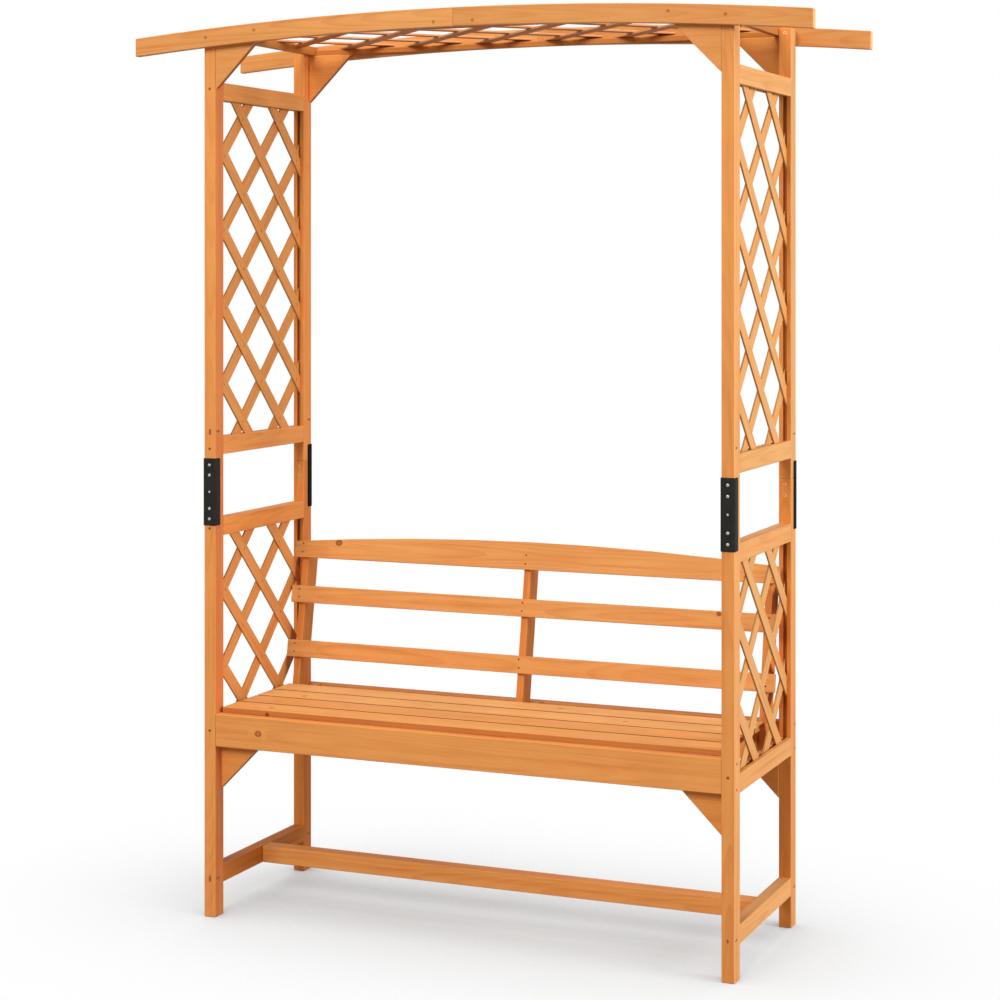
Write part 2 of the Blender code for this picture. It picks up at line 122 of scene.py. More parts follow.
class Shader:
    """The nodes of one material, with a short call for each kind that the materials use."""

    def __init__(self, name):
        self.material = bpy.data.materials.new(name)
        self.material.use_nodes = True
        self.tree = self.material.node_tree
        self.tree.nodes.clear()
        self.principled = self.add("ShaderNodeBsdfPrincipled")
        self.output = self.add("ShaderNodeOutputMaterial")
        self.link(self.principled.outputs["BSDF"], self.output.inputs["Surface"])

    def add(self, kind, **settings):
        node = self.tree.nodes.new(kind)
        for key, value in settings.items():
            setattr(node, key, value)
        return node

    def link(self, source, target):
        self.tree.links.new(source, target)

    def feed(self, socket, value):
        if isinstance(value, bpy.types.NodeSocket):
            self.link(value, socket)
        else:
            socket.default_value = value

    def math(self, operation, *values, clamp=False):
        node = self.add("ShaderNodeMath", operation=operation, use_clamp=clamp)
        for socket, value in zip(node.inputs, values):
            self.feed(socket, value)
        return node.outputs[0]

    def vector(self, operation, *values):
        node = self.add("ShaderNodeVectorMath", operation=operation)
        for socket, value in zip(node.inputs, values):
            self.feed(socket, value)
        return node.outputs["Value" if operation in ("LENGTH", "DOT_PRODUCT", "DISTANCE") else "Vector"]

    def combine(self, x, y, z):
        node = self.add("ShaderNodeCombineXYZ")
        for socket, value in zip(node.inputs, (x, y, z)):
            self.feed(socket, value)
        return node.outputs[0]

    def separate(self, vector):
        node = self.add("ShaderNodeSeparateXYZ")
        self.link(vector, node.inputs[0])
        return node.outputs

    def noise(self, vector, scale=1.0, detail=2.0, roughness=0.5):
        node = self.add("ShaderNodeTexNoise")
        self.link(vector, node.inputs["Vector"])
        node.inputs["Scale"].default_value = scale
        node.inputs["Detail"].default_value = detail
        node.inputs["Roughness"].default_value = roughness
        return node.outputs["Fac"]

    def drift(self, vector, detail=1.0):
        """Three independent noises round zero, as a vector."""
        node = self.add("ShaderNodeTexNoise")
        self.link(vector, node.inputs["Vector"])
        node.inputs["Scale"].default_value = 1.0
        node.inputs["Detail"].default_value = detail
        return self.vector("SUBTRACT", node.outputs["Color"], (0.5, 0.5, 0.5))

    def ramp(self, value, low, high, out_low=0.0, out_high=1.0):
        """A smooth step from out_low, where the value is low, to out_high, where it is high."""
        node = self.add("ShaderNodeMapRange", interpolation_type="SMOOTHSTEP")
        for name, item in (("Value", value), ("From Min", low), ("From Max", high),
                           ("To Min", out_low), ("To Max", out_high)):
            self.feed(node.inputs[name], item)
        return node.outputs["Result"]

    def mix(self, share, first, second, blend="MIX"):
        node = self.add("ShaderNodeMix", data_type="RGBA", blend_type=blend)
        for index, item in ((0, share), (6, first), (7, second)):
            self.feed(node.inputs[index], item)
        return node.outputs[2]

    def bump(self, height, distance, strength):
        node = self.add("ShaderNodeBump")
        self.link(height, node.inputs["Height"])
        node.inputs["Distance"].default_value = distance
        node.inputs["Strength"].default_value = strength
        self.link(node.outputs["Normal"], self.principled.inputs["Normal"])


# Stained softwood: light earlywood, redder latewood, and the tones that edges, knots and ends bring, with
# painted light and shade for long sides, grooves and recesses
early_wood = (0.770, 0.323, 0.091)
late_wood = (0.575, 0.180, 0.041)
worn_edge = (0.860, 0.420, 0.130, 1)
knot_heart = (0.580, 0.175, 0.055, 1)
knot_rim = (0.230, 0.044, 0.007, 1)
end_stain = (0.450, 0.125, 0.022, 1)
pale_end = (0.880, 0.560, 0.240, 1)
flush_end = (0.680, 0.260, 0.065, 1)
# Painted light and shade for the long sides of boards: tints that multiply them, darker for sides in shade
# and paler for sides that a lamp lights
sawn_shade = (0.28, 0.155, 0.08, 1)
painted_sun_side = (1.03, 1.22, 1.55, 1)
painted_shade_side = (0.95, 0.78, 0.85, 1)
painted_lit_side = (1.06, 1.06, 1.16, 1)
painted_light_far_side = (0.85, 1.05, 1.36, 1)
painted_light_high_side = (0.87, 1.22, 1.80, 1)
painted_deep_shade_side = (0.84, 0.74, 0.74, 1)
painted_slat_edge_shade = (0.60, 0.42, 0.28, 1)
painted_roof_side_light = (1.15, 1.40, 2.50, 1)
# Painted shade for grooves and recesses
painted_groove_color = (0.340, 0.060, 0.010, 1)
pink_drift = (1.02, 0.90, 0.90, 1)
yellow_drift = (1.00, 1.06, 1.03, 1)
pale_shift = (-0.03, 0.14, 0.35)

# Grain: the rings' spacing, and how often per metre the marks change along, across and through a board
ring_spacing = 0.0030
wander_pace = (1.4, 0, 0)
ripple_pace = (7.0, 30.0, 30.0)
fibre_pace = (14.0, 640.0, 640.0)
streak_pace = (2.2, 90.0, 90.0)
pore_pace = (55.0, 1500.0, 1500.0)
hue_pace = (5.0, 26.0, 26.0)
blotch_pace = 6.0
uneven_pace = 70.0
uneven_years = 1.5

# The pith: how far across a board it may lie, as a share of the half width, and how far behind or before it,
# its tilt and its wandering, of which shorter boards have less, and how far the rings ripple
pith_across = 0.8
pith_away = (0.040, 0.085)
pith_tilt = (0.015, 0.030)
pith_wander = (0.030, 0.036)
least_swing = 0.3
full_swing_half_length = 0.6
ring_ripple = 0.0018

# How far apart the grain of boards may lie in the log, and that of the next slat or layer of a lattice
grain_reach = 9
slat_grain_step = (3.7, 0.31, 0.17)
slat_layer_step = 1.7

# Ramps of the marks: the noise at which a mark starts and is full, and the two shares that it then has
ring_rise, ring_fall = (0.30, 0.90), (1.0, 0.92)
ring_noise, ring_dark = (0.30, 0.70), (0.14, 0.36)
streak_dark = (0.42, 0.78, 0.0, 0.42)
fibre_dark = (0.50, 0.85, 0.0, 0.25)
pore_dark = (0.66, 0.80, 0.0, 0.35)
blotch_late = (0.35, 0.75, 0.0, 0.16)
hue_pink = (0.52, 0.72, 0.0, 0.5)
hue_yellow = (0.48, 0.28, 0.0, 0.5)
patchy_wear = (0.35, 0.65, 0.10, 0.40)
streak_rough = (0.3, 0.8, 0.50, 0.64)

# A knot: how it is drawn out along, across and through its board, then in shares of its radius the swell of
# the rings round it, its outline, its heart and its own rings
knot_stretch = (0.8, 1.0, 0.6)
knot_swell, knot_swell_height = (3.5, 0.5), 0.35
knot_outline = (1.15, 0.75)
knot_inside = (0.85, 0.40)
knot_ring_spacing, knot_ring_dark = 0.30, 0.35

# Distances from an edge or a face over which wear, the painted light and shade of long sides, ends and the
# painted shade of grooves fade, and how ends differ
wear_reach = (0.0022, 0.0003)
painted_side_reach = (0.0011, 0.0003)
end_reach = (0.0006, 0.0001)
painted_groove_reach = (0.0008, 0.0030)
end_share, end_rough = 0.70, 0.2

# Relief of the grain: its depth, and the share that fibres and rings stand up and pores lie deep
grain_relief = 0.0004
fibre_up, ring_up = 0.6, 0.30
pore_down = (0.66, 0.80, 0.0, 0.5)


def wood(name, board, seed, tone=1.0, pale=0.0, sawn=0.12, gloss=0.10, grooved=0.0, figure=1.0, knots=(),
         arch=None, cut_end=None, side_tint=sawn_shade, attribute=None):
    """Stained board: growth rings round a wandering pith, streaks, fibres, pores, knots and end grain.

    The board is the rotation that turns its grain to X and its face to Z, its middle and its half sizes.
    Its long sides take the side tint by the given share, as painted shade, or as painted light where the
    tint is paler. Pale moves its stain towards yellow, the groove share is how dark the painted shade in its
    grooves and recesses stands, and figure is the strength of its rings. Each knot is its centre on the
    bench, its radius, how far it covers the board and how light its heart is. Arch is the radius of a bent
    board, and attribute names the place in its own slat that a lattice vertex keeps.
    """
    turn, middle, half = board
    draw = random.Random(seed)
    shader = Shader(name)
    if attribute:
        own = shader.add("ShaderNodeAttribute", attribute_name=attribute).outputs["Vector"]
        number = shader.add("ShaderNodeAttribute", attribute_name="board_number").outputs["Fac"]
        shift = shader.combine(*(shader.math("MULTIPLY", number, step) for step in slat_grain_step))
    else:
        position = shader.add("ShaderNodeTexCoord").outputs["Object"]
        if arch:
            x, y, z = shader.separate(position)
            drop = shader.math("DIVIDE", shader.math("MULTIPLY", x, x), 2 * arch)
            position = shader.combine(x, y, shader.math("ADD", z, drop))
        mapping = shader.add("ShaderNodeMapping", vector_type="POINT")
        shader.link(position, mapping.inputs["Vector"])
        mapping.inputs["Rotation"].default_value = turn.to_euler()
        mapping.inputs["Location"].default_value = -(turn @ middle)
        own = mapping.outputs["Vector"]
        shift = tuple(draw.uniform(-grain_reach, grain_reach) for axis in range(3))
    spot = shader.vector("ADD", own, shift)
    along, across, deep = shader.separate(own)

    # Growth rings: the distance from a pith that wanders along the board
    sideways = draw.uniform(-pith_across, pith_across) * half[1]
    pith = (0, sideways, draw.choice((-1, 1)) * draw.uniform(*pith_away))
    tilt = (0, *(draw.uniform(-most, most) for most in pith_tilt))
    swing = least_swing if attribute else min(max(half[0] / full_swing_half_length, least_swing), 1.0)
    wander = shader.drift(shader.vector("MULTIPLY", spot, wander_pace))
    ripple = shader.drift(shader.vector("MULTIPLY", spot, ripple_pace))
    wander = shader.vector("MULTIPLY", wander, (0, pith_wander[0] * swing, pith_wander[1] * swing))
    ripple = shader.vector("MULTIPLY", ripple, (0, ring_ripple, ring_ripple))
    from_pith = shader.vector("SUBTRACT", own, pith)
    from_pith = shader.vector("ADD", shader.vector("ADD", from_pith, wander), ripple)
    slope = shader.vector("MULTIPLY", shader.combine(along, along, along), tilt)
    from_pith = shader.vector("MULTIPLY", shader.vector("ADD", from_pith, slope), (0, 1, 1))
    radius = shader.vector("LENGTH", from_pith)
    knot_share = None
    for centre, size, depth, light in knots:
        apart = shader.vector("SUBTRACT", own, turn @ (Vector(centre) - middle))
        away = shader.vector("LENGTH", shader.vector("MULTIPLY", apart, knot_stretch))
        swell = shader.ramp(away, *(size * part for part in knot_swell), 0.0, size * knot_swell_height)
        radius = shader.math("ADD", radius, swell)
        share = shader.ramp(away, *(size * part for part in knot_outline), 0.0, depth)
        heart = shader.ramp(away, *(size * part for part in knot_inside), 0.0, light)
        knot_ring = shader.math("FRACT", shader.math("DIVIDE", away, size * knot_ring_spacing))
        knot_ring = shader.math("MULTIPLY", knot_ring, knot_ring_dark * light)
        heart = shader.math("SUBTRACT", heart, knot_ring, clamp=True)
        tint = shader.mix(heart, knot_rim, knot_heart)
        if knot_share:
            tint = shader.mix(share, knot_share[1], tint)
            share = shader.math("MAXIMUM", share, knot_share[0])
        knot_share = (share, tint)
    uneven = shader.noise(shader.combine(shader.math("MULTIPLY", radius, uneven_pace), 0.0, 0.0))
    uneven = shader.math("MULTIPLY", uneven, uneven_years)
    year = shader.math("ADD", shader.math("DIVIDE", radius, ring_spacing), uneven)
    season = shader.math("FRACT", year)
    ring = shader.math("MULTIPLY", shader.ramp(season, *ring_rise), shader.ramp(season, *ring_fall))

    # Streaks, fibres and pores that run with the grain, and blotches where the stain took unevenly
    fibre = shader.noise(shader.vector("MULTIPLY", spot, fibre_pace), roughness=0.6)
    streak = shader.noise(shader.vector("MULTIPLY", spot, streak_pace), detail=3.0, roughness=0.55)
    pore = shader.noise(shader.vector("MULTIPLY", spot, pore_pace), detail=1.0)
    blotch = shader.noise(spot, blotch_pace)
    figured = shader.ramp(blotch, *ring_noise, *(share * figure for share in ring_dark))
    dark = shader.math("MULTIPLY", ring, figured)
    dark = shader.math("ADD", dark, shader.ramp(streak, *streak_dark))
    dark = shader.math("ADD", dark, shader.ramp(fibre, *fibre_dark))
    dark = shader.math("ADD", dark, shader.ramp(pore, *pore_dark), clamp=True)
    tint = [tone * (1 + pale * more) for more in pale_shift]
    early, late = ((*(min(channel * share, 1) for channel, share in zip(color, tint)), 1)
                   for color in (early_wood, late_wood))
    color = shader.mix(dark, early, late)
    color = shader.mix(shader.ramp(blotch, *blotch_late), color, late)

    # Slow drifts of the stain between pink and yellow
    hue = shader.noise(shader.vector("MULTIPLY", spot, hue_pace))
    color = shader.mix(shader.ramp(hue, *hue_pink), color, pink_drift, "MULTIPLY")
    color = shader.mix(shader.ramp(hue, *hue_yellow), color, yellow_drift, "MULTIPLY")

    # The second smallest distance to the board's faces is the distance to its nearest edge
    gaps = [shader.math("SUBTRACT", size, shader.math("ABSOLUTE", axis))
            for size, axis in zip(half, (along, across, deep))]
    small, large = shader.math("MINIMUM", *gaps[:2]), shader.math("MAXIMUM", *gaps[:2])
    edge = shader.math("MAXIMUM", small, shader.math("MINIMUM", large, gaps[2]))
    wear = shader.math("MULTIPLY", shader.ramp(edge, *wear_reach), shader.ramp(blotch, *patchy_wear))
    color = shader.mix(wear, color, worn_edge)
    # Painted light or shade on the long sides: the side tint multiplies them
    side = shader.ramp(gaps[1], *painted_side_reach, 0.0, sawn)
    color = shader.mix(side, color, side_tint, "MULTIPLY")
    end = shader.ramp(gaps[0], *end_reach, 0.0, end_share)
    color = shader.mix(end, color, cut_end or end_stain)
    # Painted shade in grooves and recesses: faces that lie inside the board's box darken
    if grooved:
        depth = shader.math("MINIMUM", small, gaps[2])
        color = shader.mix(shader.ramp(depth, *painted_groove_reach, 0.0, grooved), color, painted_groove_color)
    if knot_share:
        color = shader.mix(knot_share[0], color, knot_share[1])
    shader.link(color, shader.principled.inputs["Base Color"])

    rough = shader.math("ADD", shader.ramp(streak, *streak_rough), shader.math("MULTIPLY", end, end_rough))
    shader.link(rough, shader.principled.inputs["Roughness"])
    shader.principled.inputs["Specular IOR Level"].default_value = gloss
    fibre, ring = shader.math("MULTIPLY", fibre, fibre_up), shader.math("MULTIPLY", ring, ring_up)
    height = shader.math("ADD", fibre, ring)
    height = shader.math("SUBTRACT", height, shader.ramp(pore, *pore_down))
    shader.bump(height, distance=grain_relief, strength=0.30)
    return shader.material


steel_dark = (0.0170, 0.0155, 0.0125)
steel_light = (0.0260, 0.0240, 0.0200)
steel_scuff = (0.055, 0.051, 0.046, 1)


def coated_steel(name, shade=1.0):
    """Powder-coated sheet: fine orange peel, with rubbed places that are a little lighter."""
    shader = Shader(name)
    position = shader.add("ShaderNodeTexCoord").outputs["Object"]
    peel = shader.noise(position, scale=900.0)
    patch = shader.noise(position, scale=55.0, detail=3.0, roughness=0.6)
    scratch = shader.noise(position, scale=260.0, detail=4.0, roughness=0.7)
    # A shade below one darkens the colour and the sheen: painted shade
    dark, light = ((*(channel * shade for channel in color), 1) for color in (steel_dark, steel_light))
    color = shader.mix(shader.ramp(patch, 0.35, 0.75), dark, light)
    color = shader.mix(shader.ramp(scratch, 0.68, 0.80, 0.0, 0.4), color, steel_scuff)
    shader.link(color, shader.principled.inputs["Base Color"])
    shader.link(shader.ramp(patch, 0.3, 0.7, 0.55, 0.70), shader.principled.inputs["Roughness"])
    shader.principled.inputs["Specular IOR Level"].default_value = 0.07 * shade
    shader.bump(peel, distance=0.0002, strength=0.25)
    return shader.material


def metal(name, color, dull, grime, shine=0.85):
    """Plated or browned metal, mottled and stained: dull is its roughness, grime the shade of its stains."""
    shader = Shader(name)
    position = shader.add("ShaderNodeTexCoord").outputs["Object"]
    mottled = shader.noise(position, scale=700.0, detail=3.0, roughness=0.6)
    stain = shader.noise(position, scale=160.0)
    shade = tuple(channel * grime for channel in color[:3]) + (1,)
    tint = shader.mix(shader.ramp(mottled, 0.35, 0.75), color, shade)
    tint = shader.mix(shader.ramp(stain, 0.5, 0.8, 0.0, 0.5), tint, shade)
    shader.link(tint, shader.principled.inputs["Base Color"])
    shader.principled.inputs["Metallic"].default_value = shine
    shader.principled.inputs["Specular IOR Level"].default_value = 0.3 if shine else 0.05
    rough = shader.ramp(mottled, 0.2, 0.8, dull - 0.08, dull + 0.1)
    shader.link(rough, shader.principled.inputs["Roughness"])
    shader.bump(mottled, distance=0.0001, strength=0.3)
    return shader.material


def filler(name, color, shade):
    """Stained plug or filler: short grain and specks."""
    shader = Shader(name)
    position = shader.add("ShaderNodeTexCoord").outputs["Object"]
    grain = shader.noise(shader.vector("MULTIPLY", position, (900.0, 900.0, 260.0)))
    speck = shader.noise(position, scale=1400.0)
    tint = shader.mix(shader.ramp(grain, 0.35, 0.70), color, shade)
    tint = shader.mix(shader.ramp(speck, 0.60, 0.75, 0.0, 0.6), tint, shade)
    shader.link(tint, shader.principled.inputs["Base Color"])
    shader.link(shader.ramp(grain, 0.3, 0.7, 0.60, 0.75), shader.principled.inputs["Roughness"])
    shader.principled.inputs["Specular IOR Level"].default_value = 0.25
    shader.bump(grain, distance=0.0003, strength=0.4)
    return shader.material


def frame_of(grain, face):
    """The rotation that turns the grain direction to X and the face's normal to Z."""
    grain, face = Vector(grain).normalized(), Vector(face).normalized()
    return Matrix((grain, face.cross(grain), face))


def dress(node, grain, face, tone, pale=0.0, middle=None, half=None, **details):
    """Gives a CAD node its own wood."""
    turn = frame_of(grain, face)
    if middle is None:
        low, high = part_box(node)
        middle = (low + high) / 2
        half = [abs(value) for value in turn @ ((high - low) / 2)]
    material = wood(f"wood_{node}", (turn, middle, half), node, tone, pale, **details)
    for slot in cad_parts[node].material_slots:
        slot.material = material


# Wood of the boards that the frame keeps. A stain is a tone and a pale share, and for posts a side tint,
# painted light or shade on their sides. Darker, redder stains on the back-left post, the back gussets, the
# right beams, the left stretcher and rails, the back apron, the bearers, the supports, the ledgers and the
# roof end boards are painted shade, and paler stains on the front-left beam and on the right side's rails,
# stretcher and lattice are painted light.
along_x, along_y, along_z = Vector((1, 0, 0)), Vector((0, 1, 0)), Vector((0, 0, 1))
tones = random.Random(11)
slight_spread = (0.98, 1.02)
seat_gusset_tones, seat_gusset_pale = (0.91, 0.94), -0.75
beam_stain_with_painted_light_and_shade = {"front_left": (0.97, 0.3), "front_right": (0.88, 0.1),
              "back_left": (0.98, 0.1), "back_right": (0.84, 0.1)}
post_stain_and_painted_sides = {"front_left": (1.0, -0.3, painted_shade_side), "front_right": (0.96, -0.3, painted_sun_side),
              "back_left": (1.10, -0.95, painted_deep_shade_side), "back_right": (1.06, -1.0, painted_light_far_side)}
upper_back_stain_and_painted_sides = {"back_left": (1.03, -0.7, painted_lit_side), "back_right": (1.03, -0.8, painted_light_high_side)}
gusset_stain_with_painted_shade = {"front_left": (0.96, 0.1), "front_right": (0.98, 0.0),
                "back_left": (1.10, -0.6), "back_right": (0.90, -0.9)}
rail_stain_with_painted_light_and_shade = {"left": (1.10, -0.3), "right": (0.99, 1.0)}
rail_shift = {"side_rail_top": 0.15, "side_rail_window": 0.15, "side_rail_arm": -0.3, "side_rail_seat": -0.3}
stretcher_stain_with_painted_light_and_shade = {"left": (0.82, -1.5), "right": (1.03, 0.9)}
long_stretcher_stain = (1.02, -0.3)
end_board_painted_shade_tones, end_board_painted_shade_pale = (0.63, 0.67), -1.1
ledger_stain_with_painted_shade = (0.67, -1.2)
apron_stain_with_painted_shade = {"front": (1.0, -0.2), "back": (0.88, -0.9)}
bearer_stain_with_painted_shade = (0.82, -0.9)
support_stain_with_painted_shade = (0.96, -1.0)
near_slat_tones, near_slat_pale = (1.00, 1.04), 0.35
far_slat_tones, far_slat_pale = (1.12, 1.15), 1.1
back_slat_tones, back_slat_pale = (0.99, 1.03), 0.3
for end_name in ends:
    for side_name in sides:
        corner = f"{end_name}_{side_name}"
        # Posts: side tints that are painted light on sides a lamp lights and painted shade on shaded sides
        for part in ("post_lower", "post_upper"):
            tone, pale, tint = post_stain_and_painted_sides[corner]
            if part == "post_upper" and corner in upper_back_stain_and_painted_sides:
                tone, pale, tint = upper_back_stain_and_painted_sides[corner]
            dress(f"{part}_{corner}", along_z, along_y, tone * tones.uniform(*slight_spread), pale, sawn=1.0,
                  grooved=0.75, side_tint=tint)
        # Gussets: painted shade on their sloping faces and in their grooves
        dress(f"top_gusset_{corner}", along_x, along_y, *gusset_stain_with_painted_shade[corner], grooved=0.85, figure=0.6,
              cut_end=flush_end)
        dress(f"seat_gusset_{corner}", along_x, along_y, tones.uniform(*seat_gusset_tones), seat_gusset_pale,
              grooved=0.85, figure=0.6, cut_end=flush_end)
        node = f"beam_{corner}"
        low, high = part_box(node)
        middle = (low + high) / 2
        middle.z = beam_crown - beam_height / 2
        half = [(high.x - low.x) / 2, beam_height / 2, (high.y - low.y) / 2]
        dress(node, along_x, along_y, *beam_stain_with_painted_light_and_shade[corner], middle, half, arch=beam_arch_radius,
              cut_end=end_stain if corner == "front_left" else pale_end)
for side_name in sides:
    tone, pale = rail_stain_with_painted_light_and_shade[side_name]
    # Rails: painted shade in their grooves
    for part, more in rail_shift.items():
        dress(f"{part}_{side_name}", along_y, along_x, tone * tones.uniform(*slight_spread), pale + more,
              grooved=0.75, figure=0.7)
    dress(f"side_stretcher_{side_name}", along_y, along_x, *stretcher_stain_with_painted_light_and_shade[side_name])
    dress(f"roof_end_board_{side_name}", along_y, along_x, tones.uniform(*end_board_painted_shade_tones), end_board_painted_shade_pale,
          figure=0.6)
dress("long_stretcher", along_x, along_y, *long_stretcher_stain)
for end_name in ends:
    dress(f"roof_ledger_{end_name}", along_x, along_y, *ledger_stain_with_painted_shade, figure=0.6)
front_apron_knot = ((-0.4865, -half_depth, 0.4241), 0.0068, 0.90, 1.0)
back_apron_knot = ((0.212, half_depth, 0.4310), 0.0055, 0.9, 0.5)
dress("seat_apron_front", along_x, along_y, *apron_stain_with_painted_shade["front"], sawn=0.0, figure=0.8, cut_end=flush_end,
      knots=[front_apron_knot])
dress("seat_apron_back", along_x, along_y, *apron_stain_with_painted_shade["back"], knots=[back_apron_knot])
for name in ("left", "centre", "right"):
    dress(f"seat_bearer_{name}", along_y, along_x, *bearer_stain_with_painted_shade)
seat_knots = {
    1: [((-0.4807, -0.1781, seat_top), 0.0062, 0.60, 0.4),
        ((-0.4754, -0.2110, 0.4625), 0.0042, 0.95, 0.0)],
    3: [((-0.4796, -0.0246, seat_top), 0.0062, 0.60, 0.4),
        ((0.3070, -0.0110, seat_top), 0.0055, 0.55, 0.4)],
    4: [((0.1240, 0.0700, seat_top), 0.0060, 0.55, 0.4)],
}
for number in range(1, 5):
    knots = seat_knots.get(number, ())
    spread, pale = (near_slat_tones, near_slat_pale) if number < 3 else (far_slat_tones, far_slat_pale)
    # Painted shade on the long edges: slat 1's front edge darker and redder, the gaps between the others
    # dark
    tint, share = (painted_slat_edge_shade, 0.75) if number == 1 else (sawn_shade, 0.9)
    dress(f"seat_slat_{number}", along_x, along_z, tones.uniform(*spread), pale, sawn=share, gloss=0.05,
          knots=knots, side_tint=tint)

# The back leans, so its boards are measured in its own frame
lean = Matrix.Rotation(-back_lean, 3, "X")
back_up, back_out = lean @ along_z, lean @ along_y
back_origin = Vector((0, back_y, seat_top))
for name in ("left", "centre", "right"):
    node = f"back_support_{name}"
    low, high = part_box(node)
    dress(node, back_up, back_out, *support_stain_with_painted_shade, (low + high) / 2, support_half)
back_knots = {"top": [((-0.4890, 0.1711, 0.8069), 0.0075, 0.9, 0.5)],
              "middle": [((0.4710, 0.1515, 0.6961), 0.0050, 0.9, 0.2)]}
for name, height in back_slat_heights.items():
    node = f"back_slat_{name}"
    low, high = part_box(node)
    half = [(high.x - low.x) / 2, height / 2, back_slat_thickness / 2]
    knots = back_knots.get(name, ())
    # Painted shade on the back slats' upper and lower edges
    dress(node, along_x, back_out, tones.uniform(*back_slat_tones), back_slat_pale, (low + high) / 2, half,
          sawn=0.25, knots=knots)


def mesh_of(name, shape):
    """Turns a bmesh into a mesh."""
    mesh = bpy.data.meshes.new(name)
    shape.to_mesh(mesh)
    shape.free()
    return mesh


def add_to_scene(name, data):
    """A new object of a mesh, a lamp or a camera."""
    item = bpy.data.objects.new(name, data)
    bpy.context.scene.collection.objects.link(item)
    return item


def new_piece(name, shape, material):
    """Turns a bmesh into a piece with its material."""
    piece = add_to_scene(name, mesh_of(name, shape))
    piece.data.materials.append(material)
    return piece


def add_copy(shape, template, place):
    """Adds a copy of a template mesh to a bmesh, moved by a matrix."""
    known = len(shape.verts)
    shape.from_mesh(template)
    shape.verts.ensure_lookup_table()
    bmesh.ops.transform(shape, matrix=place, verts=shape.verts[known:])


def skin(shape, rows):
    """Joins rows of points, each a closed ring, into a solid with flat ends."""
    for first, second in zip(rows, rows[1:]):
        for index in range(len(first)):
            following = (index + 1) % len(first)
            shape.faces.new((first[index], first[following], second[following], second[index]))
    shape.faces.new(rows[0][::-1])
    shape.faces.new(rows[-1])


def template_of(name, shape):
    """A mesh that only serves to be copied."""
    bmesh.ops.recalc_face_normals(shape, faces=shape.faces[:])
    return mesh_of(name, shape)


def cut_slat(length, place, turn, half_panel):
    """One lattice slat in its own frame, cut off by the panel's outline and with its edges rounded."""
    slat = bmesh.new()
    size = (length, slat_width, slat_thickness)
    bmesh.ops.create_cube(slat, size=1, matrix=Matrix.Diagonal((*size, 1)))
    outward = Matrix.Translation(place) @ turn
    inward = outward.inverted()
    for axis in (0, 1):
        for sign in (-1, 1):
            plane = Vector((0, 0, 0))
            plane[axis] = sign * half_panel[axis]
            normal = Vector((0, 0, 0))
            normal[axis] = sign
            everything = slat.verts[:] + slat.edges[:] + slat.faces[:]
            cut = bmesh.ops.bisect_plane(
                slat, geom=everything, plane_co=inward @ plane,
                plane_no=(inward.to_3x3() @ normal), clear_outer=True)
            rim = [item for item in cut["geom_cut"] if isinstance(item, bmesh.types.BMEdge)]
            if rim:
                bmesh.ops.contextual_create(slat, geom=rim)
    bmesh.ops.bevel(slat, geom=slat.edges[:], offset=slat_edge_radius, segments=2, profile=0.5,
                    affect="EDGES", clamp_overlap=True)
    return slat, outward


def crossings(half_panel, half_pitch, shift):
    """Where the slats of the two layers cross, in the panel's frame, away from its outline."""
    along, across = half_panel
    last = int((along + across) / half_pitch) + 1
    for first in range(-last, last + 1):
        for second in range(-last, last + 1):
            if first % 2 == 0 or second % 2 == 0:
                continue
            x = shift[0] + (first + second) * half_pitch / 2
            y = shift[1] + (second - first) * half_pitch / 2
            if abs(x) < along - staple_margin and abs(y) < across - staple_margin:
                yield x, y


def lattice(node, half_panel, half_pitch, shift, basis, material, staple_side):
    """Two layers of crossed slats that stand for a lattice node, stapled where they cross."""
    panel = bmesh.new()
    board = panel.verts.layers.float_vector.new("board")
    number = panel.verts.layers.float.new("board_number")
    along, across = half_panel
    count = 0
    reach = 2 * (along + across)
    last = int((along + across) / half_pitch) + 1
    for layer in (-1, 1):
        for step in range(-last, last + 1):
            offset = step * half_pitch + shift[0]
            if step % 2 == 0 or along + across - abs(offset) < half_pitch:
                continue
            place = Vector((offset, shift[1], layer * slat_thickness / 2))
            angle = -layer * math.pi / 4 + math.pi / 2
            turn = Matrix.Rotation(angle, 4, "Z")
            slat, outward = cut_slat(reach, place, turn, half_panel)
            count += 1
            copies = {}
            for vertex in slat.verts:
                copy = panel.verts.new(basis @ (outward @ vertex.co))
                copy[board] = vertex.co
                copy[number] = count + slat_layer_step * layer
                copies[vertex] = copy
            for face in slat.faces:
                panel.faces.new([copies[vertex] for vertex in face.verts])
            slat.free()
    bmesh.ops.recalc_face_normals(panel, faces=panel.faces[:])
    piece = new_piece(f"slats_{node}", panel, material)
    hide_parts(node)
    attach(piece, "root")
    for x, y in crossings(half_panel, half_pitch, shift):
        upright = Matrix.Identity(4) if staple_side > 0 else Matrix.Rotation(math.pi, 4, "X")
        spot = Vector((x + scatter.uniform(-staple_stray, staple_stray),
                       y + scatter.uniform(-staple_stray, staple_stray), staple_side * slat_thickness))
        turn = Matrix.Rotation(scatter.uniform(-staple_turn, staple_turn), 4, "Z")
        add_copy(staples, staple, basis @ Matrix.Translation(spot) @ upright @ turn)


def bent_wire(points, width, thickness):
    """A flat wire that follows points in the XZ plane."""
    shape = bmesh.new()
    rows = []
    for index, point in enumerate(points):
        before, after = points[max(index - 1, 0)], points[min(index + 1, len(points) - 1)]
        ahead = (after - before).normalized()
        out = Vector((-ahead.z, 0, ahead.x)) * thickness / 2
        wide = Vector((0, width / 2, 0))
        corners = (out + wide, out - wide, -out - wide, wide - out)
        rows.append([shape.verts.new(point + corner) for corner in corners])
    skin(shape, rows)
    return shape


